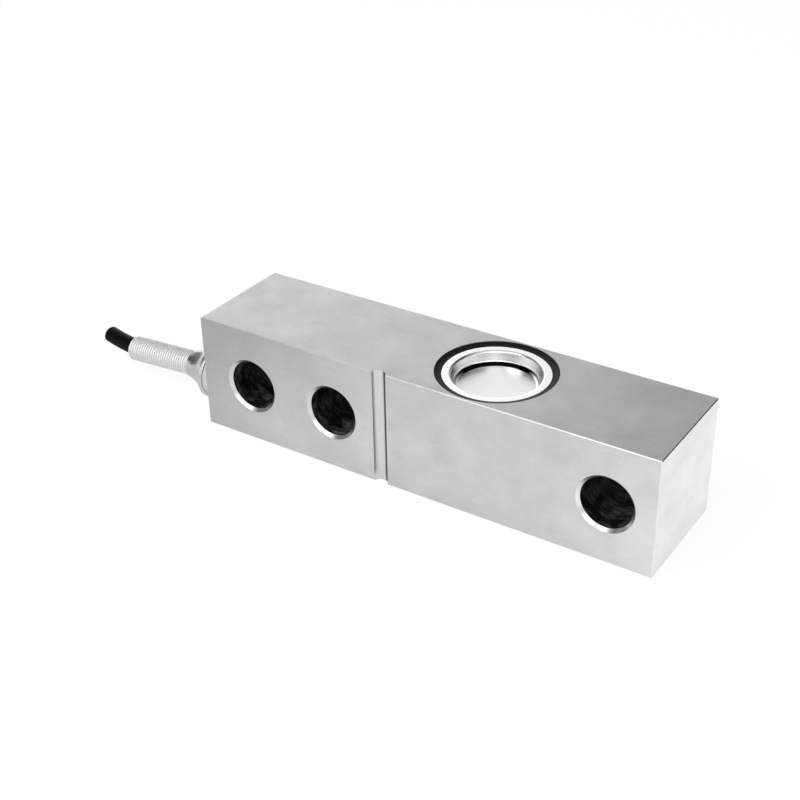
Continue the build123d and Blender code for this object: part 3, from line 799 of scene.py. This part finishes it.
def polished_nickel(name, roughness, line_width):
    """Nickel plated, turned metal: bright, with hair lines round the axis that a lathe leaves."""
    material, tree, shader = new_material(name)
    place = add(tree, "ShaderNodeTexCoord").outputs["Object"]
    turns = add(
        tree,
        "ShaderNodeMapping",
        {"Vector": place, "Scale": (1 / line_width, 1 / (8 * MM), 1 / (8 * MM))},
    )
    lines = add(tree, "ShaderNodeTexNoise", {"Vector": turns.outputs[0], "Scale": 1.0, "Detail": 3.0})
    colour = add(tree, "ShaderNodeValToRGB", {"Fac": lines.outputs["Fac"]})
    colour.color_ramp.elements[0].color = linear("#D3D2CF")
    colour.color_ramp.elements[1].color = linear("#E6E5E2")
    rough = add(tree, "ShaderNodeMapRange", {"Value": lines.outputs["Fac"]})
    rough.inputs["To Min"].default_value = roughness - 0.03
    rough.inputs["To Max"].default_value = roughness + 0.05
    embossed = {"Height": lines.outputs["Fac"], "Strength": 0.06, "Distance": 0.02 * MM}
    bump = add(tree, "ShaderNodeBump", embossed)
    shader.inputs["Metallic"].default_value = 1.0
    tree.links.new(colour.outputs[0], shader.inputs["Base Color"])
    tree.links.new(rough.outputs[0], shader.inputs["Roughness"])
    tree.links.new(bump.outputs[0], shader.inputs["Normal"])
    return material


def moulded_rubber():
    """Moulded black rubber: matt, slightly grey, with a fine grain from the mould."""
    material, tree, shader = new_material("moulded_rubber")
    place = add(tree, "ShaderNodeTexCoord").outputs["Object"]
    grain = add(tree, "ShaderNodeTexNoise", {"Vector": place, "Scale": 1 / (0.3 * MM), "Detail": 3.0})
    colour = add(tree, "ShaderNodeValToRGB", {"Fac": grain.outputs["Fac"]})
    colour.color_ramp.elements[0].color = linear("#141414")
    colour.color_ramp.elements[1].color = linear("#242424")
    embossed = {"Height": grain.outputs["Fac"], "Strength": 0.3, "Distance": 0.03 * MM}
    bump = add(tree, "ShaderNodeBump", embossed)
    shader.inputs["Roughness"].default_value = 0.7
    tree.links.new(colour.outputs[0], shader.inputs["Base Color"])
    tree.links.new(bump.outputs[0], shader.inputs["Normal"])
    return material


def bell_outline(length, skirt):
    """The bell's section, from the skirt's foot at height zero to the nose, then back up its bore."""
    start = Vector((skirt, BELL_SKIRT_LENGTH))
    end = Vector((BELL_NOSE, length))
    chord = end - start
    outwards = Vector((chord.y, -chord.x)).normalized()
    centre = (start + end) / 2 + outwards * math.sqrt(BELL_FLARE**2 - (chord.length / 2) ** 2)
    swing = 2 * math.asin(chord.length / 2 / BELL_FLARE)
    flare = []
    for k in range(FLARE_STEPS + 1):
        turn = Matrix.Rotation(-swing * k / FLARE_STEPS, 2)
        flare.append(centre + turn @ (start - centre))
    foot = rounded(
        [(BELL_MOUTH, BELL_FOOT), (skirt, BELL_FOOT), flare[0], flare[1]],
        [0, BELL_EDGE_ROUND, BELL_EDGE_ROUND, 0],
        6,
    )
    inner = [
        (BELL_SEAT, length),
        (BELL_SEAT, length - BELL_SEAT_DEPTH),
        (BELL_BORE, length - BELL_SEAT_DEPTH),
        (BELL_BORE, BELL_MOUTH_DEPTH),
        (BELL_MOUTH, BELL_MOUTH_DEPTH),
    ]
    return foot + flare[2:] + [Vector(point) for point in inner]


low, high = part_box("gland_bell")
bell_length = high.x - low.x
bell_mesh = lathe("polished_bell", bell_outline(bell_length, (high.z - low.z) / 2), LATHE_SIDES)
bell_mesh.transform(Matrix.Translation((high.x, NOSE.y, NOSE.z)) @ Matrix.Rotation(-math.pi / 2, 4, "Y"))
bell = mesh_object("polished_bell", bell_mesh, polished_nickel("polished_nickel", 0.2, 0.25 * MM))
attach(bell, "root")
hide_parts("gland_bell")

dress("gland_body", polished_nickel("turned_nickel_plate", 0.24, 0.3 * MM))
dress("gland_washer", polished_nickel("pressed_washer_steel", 0.3, 0.3 * MM))
rubber = moulded_rubber()
dress("gland_gasket", rubber)
dress("gland_bush", rubber)

# Strain relief spring
# A close coil of stainless wire, wound on a mandrel and pressed into the bell's nose.
# It lets the cable bend where it leaves the gland, but not sharply.
SPRING_COIL = 3.12 * MM
SPRING_WIRE = 0.38 * MM
SPRING_PITCH = 0.82 * MM
SPRING_TURNS = 28
SPRING_START = -0.75 * MM


def drawn_spring_wire():
    """Cold drawn stainless wire: grey and smooth, with draw lines that dull it a little."""
    material, tree, shader = new_material("drawn_spring_wire")
    place = add(tree, "ShaderNodeTexCoord").outputs["Object"]
    dull = add(tree, "ShaderNodeTexNoise", {"Vector": place, "Scale": 1 / (0.8 * MM), "Detail": 3.0})
    colour = add(tree, "ShaderNodeValToRGB", {"Fac": dull.outputs["Fac"]})
    colour.color_ramp.elements[0].color = linear("#E2E2E0")
    colour.color_ramp.elements[1].color = linear("#EEEEEC")
    rough = add(tree, "ShaderNodeMapRange", {"Value": dull.outputs["Fac"], "To Min": 0.45, "To Max": 0.6})
    shader.inputs["Metallic"].default_value = 0.8
    tree.links.new(colour.outputs[0], shader.inputs["Base Color"])
    tree.links.new(rough.outputs[0], shader.inputs["Roughness"])
    return material


def spring_tree(material):
    """A helix up Z with a round wire swept along it."""
    tree, given, result = geometry_tree(
        "wound_spring",
        {
            "Coil radius": "NodeSocketFloat",
            "Wire radius": "NodeSocketFloat",
            "Turns": "NodeSocketFloat",
            "Height": "NodeSocketFloat",
        },
    )
    helix = add(
        tree,
        "GeometryNodeCurveSpiral",
        {
            "Resolution": 64,
            "Rotations": given.outputs["Turns"],
            "Start Radius": given.outputs["Coil radius"],
            "End Radius": given.outputs["Coil radius"],
            "Height": given.outputs["Height"],
        },
    )
    wire = add(
        tree,
        "GeometryNodeCurvePrimitiveCircle",
        {"Resolution": 16, "Radius": given.outputs["Wire radius"]},
    )
    coil = add(
        tree,
        "GeometryNodeCurveToMesh",
        {"Curve": helix.outputs[0], "Profile Curve": wire.outputs[0], "Fill Caps": True},
    )
    solid = add(tree, "GeometryNodeRealizeInstances", {0: coil.outputs[0]})
    finish = add(tree, "GeometryNodeSetMaterial", {"Geometry": solid.outputs[0], "Material": material})
    tree.links.new(finish.outputs[0], result.inputs[0])
    return tree


wire_steel = drawn_spring_wire()
spring = grown(
    "wound_spring",
    spring_tree(wire_steel),
    {
        "Coil radius": SPRING_COIL,
        "Wire radius": SPRING_WIRE,
        "Turns": SPRING_TURNS,
        "Height": SPRING_TURNS * SPRING_PITCH,
    },
    wire_steel,
)
outwards = (CABLE_ROUTE[3] - NOSE).normalized()
sideways = Vector((0, 1, 0))
frame_of_coil = Matrix((sideways, outwards.cross(sideways), outwards)).transposed().to_4x4()
spring.data.transform(Matrix.Translation(NOSE + outwards * SPRING_START) @ frame_of_coil)
spring.data.shade_smooth()
spring.data.set_sharp_from_angle(angle=math.radians(50))
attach(spring, "root")
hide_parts("strain_relief_spring")

# Gauges and terminal board
# Inside the sealed pockets: foil gauges bonded on the web, enamelled leads, and a small circuit
# board with soldered joints and two trimming resistors.


def gauge_film():
    """Polyimide gauge carrier with its copper nickel foil: amber film, slightly glossy."""
    material, tree, shader = new_material("polyimide_gauge_film")
    place = add(tree, "ShaderNodeTexCoord").outputs["Object"]
    shade = add(tree, "ShaderNodeTexNoise", {"Vector": place, "Scale": 1 / (0.5 * MM), "Detail": 2.0})
    colour = add(tree, "ShaderNodeValToRGB", {"Fac": shade.outputs["Fac"]})
    colour.color_ramp.elements[0].color = linear("#A5762E")
    colour.color_ramp.elements[1].color = linear("#C4924A")
    shader.inputs["Roughness"].default_value = 0.3
    tree.links.new(colour.outputs[0], shader.inputs["Base Color"])
    return material


def enamel_wire():
    """Enamelled copper wire: glossy reddish brown."""
    material, tree, shader = new_material("enamelled_copper")
    place = add(tree, "ShaderNodeTexCoord").outputs["Object"]
    shade = add(tree, "ShaderNodeTexNoise", {"Vector": place, "Scale": 1 / (0.4 * MM), "Detail": 2.0})
    colour = add(tree, "ShaderNodeValToRGB", {"Fac": shade.outputs["Fac"]})
    colour.color_ramp.elements[0].color = linear("#7A3A1E")
    colour.color_ramp.elements[1].color = linear("#A5562F")
    shader.inputs["Metallic"].default_value = 0.7
    shader.inputs["Roughness"].default_value = 0.28
    tree.links.new(colour.outputs[0], shader.inputs["Base Color"])
    return material


def glass_epoxy_board():
    """Glass epoxy laminate under green solder mask, with the weave just showing."""
    material, tree, shader = new_material("glass_epoxy_board")
    place = add(tree, "ShaderNodeTexCoord").outputs["Object"]
    weave = add(tree, "ShaderNodeTexChecker", {"Vector": place, "Scale": 1 / (0.5 * MM)})
    weave.inputs["Color1"].default_value = linear("#1B5A3A")
    weave.inputs["Color2"].default_value = linear("#20643F")
    shader.inputs["Roughness"].default_value = 0.38
    tree.links.new(weave.outputs["Color"], shader.inputs["Base Color"])
    return material


def tin_solder():
    """Tin solder: bright grey, slightly frosted as it set."""
    material, tree, shader = new_material("tin_solder")
    place = add(tree, "ShaderNodeTexCoord").outputs["Object"]
    frost = add(tree, "ShaderNodeTexNoise", {"Vector": place, "Scale": 1 / (0.2 * MM), "Detail": 3.0})
    rough = add(tree, "ShaderNodeMapRange", {"Value": frost.outputs["Fac"], "To Min": 0.25, "To Max": 0.45})
    colour = add(tree, "ShaderNodeValToRGB", {"Fac": frost.outputs["Fac"]})
    colour.color_ramp.elements[0].color = linear("#A9A9A6")
    colour.color_ramp.elements[1].color = linear("#CFCFCC")
    shader.inputs["Metallic"].default_value = 1.0
    tree.links.new(colour.outputs[0], shader.inputs["Base Color"])
    tree.links.new(rough.outputs[0], shader.inputs["Roughness"])
    return material


def chip_ceramic():
    """Glazed chip resistor: black glaze with tiny paler specks."""
    material, tree, shader = new_material("glazed_chip_ceramic")
    place = add(tree, "ShaderNodeTexCoord").outputs["Object"]
    speck = add(tree, "ShaderNodeTexNoise", {"Vector": place, "Scale": 1 / (0.15 * MM), "Detail": 1.0})
    colour = add(tree, "ShaderNodeValToRGB", {"Fac": speck.outputs["Fac"]})
    colour.color_ramp.elements[0].color = linear("#161618")
    colour.color_ramp.elements[1].color = linear("#2B2B2E")
    shader.inputs["Roughness"].default_value = 0.35
    tree.links.new(colour.outputs[0], shader.inputs["Base Color"])
    return material


film = gauge_film()
enamel = enamel_wire()
dress("upper_strain_gauge", film)
dress("lower_strain_gauge", film)
dress("upper_gauge_leads", enamel)
dress("lower_gauge_leads", enamel)
dress("terminal_board", glass_epoxy_board())
dress("solder_joints", tin_solder())
dress("balance_resistors", chip_ceramic())

# Studio
# A white floor, a soft box over the front, and a room for metal to show: bright walls in front and
# at the left behind, a dark ceiling with a pale middle, dark at the far left and the right behind.
FLOOR_SIZE = 6.0
FLOOR_SHOWN = 0.93
CABLE_SHADE = 0.12
# How bright metal sees the floor: painted light and painted shadow that metal reflects. Each step is smooth,
# along an axis, between two places, and from one brightness to another, which may be an earlier step. The
# foot step paints a faint shadow along the beam's foot and more light by its +X end. The cable steps paint
# the cable's shadow on the floor behind it.
FLOOR_STEPS = {
    "left": ("X", -0.1, -0.03, 0.72, 1.12),
    "right": ("X", 0.02, 0.08, 0.0, 0.35),
    "by_end": ("X", 0.06, 0.07, 0.9, 1.05),
    "foot": ("Y", -0.026, -0.016, 1.0, "by_end"),
    "rear": ("X", 0.03, 0.07, 1.25, 1.55),
    "behind": ("Y", 0.0, 0.02, 0.0, "rear"),
    "cable": ("X", -0.08, -0.066, 1.0, 0.0),
    "past_cable": ("Y", 0.0, 0.008, 0.0, 1.0),
    "open_again": ("Y", 0.025, 0.045, 1.0, 0.0),
}


def smooth_steps(tree, axes, steps):
    """The brightness after each named step, by the step's name."""
    found = {}
    for name, (axis, low, high, before, after) in steps.items():
        span = {"Value": axes.outputs[axis], "From Min": low, "From Max": high}
        span["To Min"] = found.get(before, before)
        span["To Max"] = found.get(after, after)
        step = add(tree, "ShaderNodeMapRange", span, interpolation_type="SMOOTHSTEP")
        found[name] = step.outputs[0]
    return found


def white_floor():
    """White paper: shown near white to the camera, keeping a trace of shadow, and seen by metal as painted
    light with painted shadows.
    """
    material, tree, shader = new_material("white_paper")
    shader.inputs["Base Color"].default_value = linear("#F2F2F2")
    shader.inputs["Roughness"].default_value = 0.9
    shader.inputs["Specular IOR Level"].default_value = 0.0
    rays = add(tree, "ShaderNodeLightPath").outputs
    place = add(tree, "ShaderNodeSeparateXYZ", {0: add(tree, "ShaderNodeTexCoord").outputs["Object"]})
    step = smooth_steps(tree, place, FLOOR_STEPS)
    front = add(tree, "ShaderNodeMath", {0: step["left"], 1: step["right"]}, operation="ADD")
    foot = add(tree, "ShaderNodeMath", {0: front.outputs[0], 1: step["foot"]}, operation="MULTIPLY")
    bare = add(tree, "ShaderNodeMath", {0: foot.outputs[0], 1: step["behind"]}, operation="MAXIMUM")
    # Painted shadow of the cable: for metal the floor dims behind the cable, towards +Y
    cover = add(tree, "ShaderNodeMath", {0: step["cable"], 1: step["past_cable"]}, operation="MULTIPLY")
    shade = add(tree, "ShaderNodeMath", {0: cover.outputs[0], 1: step["open_again"]}, operation="MULTIPLY")
    dimming = {"Value": shade.outputs[0], "To Min": 1.0, "To Max": CABLE_SHADE}
    left_over = add(tree, "ShaderNodeMapRange", dimming, interpolation_type="SMOOTHSTEP")
    shine = add(tree, "ShaderNodeMath", {0: bare.outputs[0], 1: left_over.outputs[0]}, operation="MULTIPLY")
    white = add(tree, "ShaderNodeEmission", {"Color": (1, 1, 1, 1), "Strength": 1.0})
    gleam = add(tree, "ShaderNodeEmission", {"Color": (1, 1, 1, 1), "Strength": shine.outputs[0]})
    shown = add(tree, "ShaderNodeMath", {0: rays["Is Camera Ray"], 1: FLOOR_SHOWN}, operation="MULTIPLY")
    for_camera = add(tree, "ShaderNodeMixShader", {0: shown.outputs[0], 1: shader.outputs[0]})
    tree.links.new(white.outputs[0], for_camera.inputs[2])
    mirror_rays = {0: rays["Is Glossy Ray"], 1: rays["Is Transmission Ray"]}
    mirrored = add(tree, "ShaderNodeMath", mirror_rays, operation="MAXIMUM")
    both = add(tree, "ShaderNodeMixShader", {0: mirrored.outputs[0], 1: for_camera.outputs[0]})
    tree.links.new(gleam.outputs[0], both.inputs[2])
    output = [node for node in tree.nodes if node.type == "OUTPUT_MATERIAL"][0]
    tree.links.new(both.outputs[0], output.inputs["Surface"])
    return material


half = FLOOR_SIZE / 2
floor_corners = [(-half, -half, 0), (half, -half, 0), (half, half, 0), (-half, half, 0)]
floor_mesh = bpy.data.meshes.new("floor")
floor_mesh.from_pydata(floor_corners, [], [(0, 1, 2, 3)])
floor = mesh_object("floor", floor_mesh, white_floor())

SOFT_BOX_DIRECTION = Vector((-0.2, -0.55, 0.81))
SOFT_BOX_DISTANCE = 1.0
SOFT_BOX_SIDE = 0.45
SOFT_BOX_POWER = 9.0

soft_box_data = bpy.data.lights.new("front_soft_box", "AREA")
soft_box_data.shape = "SQUARE"
soft_box_data.size = SOFT_BOX_SIDE
soft_box_data.energy = SOFT_BOX_POWER
soft_box = bpy.data.objects.new("front_soft_box", soft_box_data)
soft_box.location = SOFT_BOX_DIRECTION.normalized() * SOFT_BOX_DISTANCE
soft_box.rotation_mode = "QUATERNION"
soft_box.rotation_quaternion = (-SOFT_BOX_DIRECTION).to_track_quat("-Z", "Y")
soft_box.visible_glossy = False
bpy.context.scene.collection.objects.link(soft_box)

PAINT_ROOM = 0.75
SKIRTING = 0.88
# The same kind of steps, over the direction in which metal looks into the room
ROOM_STEPS = {
    "back_wall": ("X", -0.57, -0.15, 1.4, 0.45),
    "walls": ("Y", -0.15, 0.15, 1.15, "back_wall"),
    "ceiling": ("Z", 0.6, 0.74, "walls", 0.08),
}
# Round panels and lamps: their direction, where they are full and gone in degrees, and brightness
PANELS = [
    (Vector((-0.93, 0.2, 0.1)), 18, 34, 0.2),
    (Vector((-0.87, -0.3, 0.4)), 18, 34, 0.12),
    (Vector((0.5, 0.75, 0.43)), 20, 38, 0.06),
    (Vector((-0.25, -0.55, 0.8)), 10, 18, 2.8),
    (Vector((0.49, -0.71, 0.5)), 12, 36, 2.2),
    (Vector((0, 0, 1)), 15, 38, 0.8),
]

world = bpy.data.worlds.new("studio")
world.use_nodes = True
bpy.context.scene.world = world
room = world.node_tree
room.nodes.clear()
direction = add(room, "ShaderNodeTexCoord").outputs["Generated"]
way = add(room, "ShaderNodeSeparateXYZ", {0: direction})
shine = smooth_steps(room, way, ROOM_STEPS)["ceiling"]
for towards, full, gone, brightness in PANELS:
    between = {0: direction, 1: towards.normalized()}
    near = add(room, "ShaderNodeVectorMath", between, operation="DOT_PRODUCT")
    spread = {"Value": near.outputs["Value"], "To Min": shine, "To Max": brightness}
    spread["From Min"] = math.cos(math.radians(gone))
    spread["From Max"] = math.cos(math.radians(full))
    shine = add(room, "ShaderNodeMapRange", spread, interpolation_type="SMOOTHSTEP").outputs[0]
low_steps = {"in_front": ("Y", -0.45, -0.25, SKIRTING, shine), "low": ("Z", 0.3, 0.42, "in_front", shine)}
shine = smooth_steps(room, way, low_steps)["low"]
rays = add(room, "ShaderNodeLightPath")
for_metal = add(room, "ShaderNodeBackground", {"Strength": shine})
for_paint = add(room, "ShaderNodeBackground", {"Strength": PAINT_ROOM})
for_eye = add(room, "ShaderNodeBackground", {"Strength": 1.0})
for node in (for_metal, for_paint, for_eye):
    node.inputs["Color"].default_value = (1, 1, 1, 1)
lit = add(room, "ShaderNodeMixShader", {0: rays.outputs["Is Glossy Ray"], 1: for_paint.outputs[0]})
room.links.new(for_metal.outputs[0], lit.inputs[2])
seen = add(room, "ShaderNodeMixShader", {0: rays.outputs["Is Camera Ray"], 1: lit.outputs[0]})
room.links.new(for_eye.outputs[0], seen.inputs[2])
add(room, "ShaderNodeOutputWorld", {"Surface": seen.outputs[0]})

bpy.context.scene.view_settings.view_transform = "Standard"
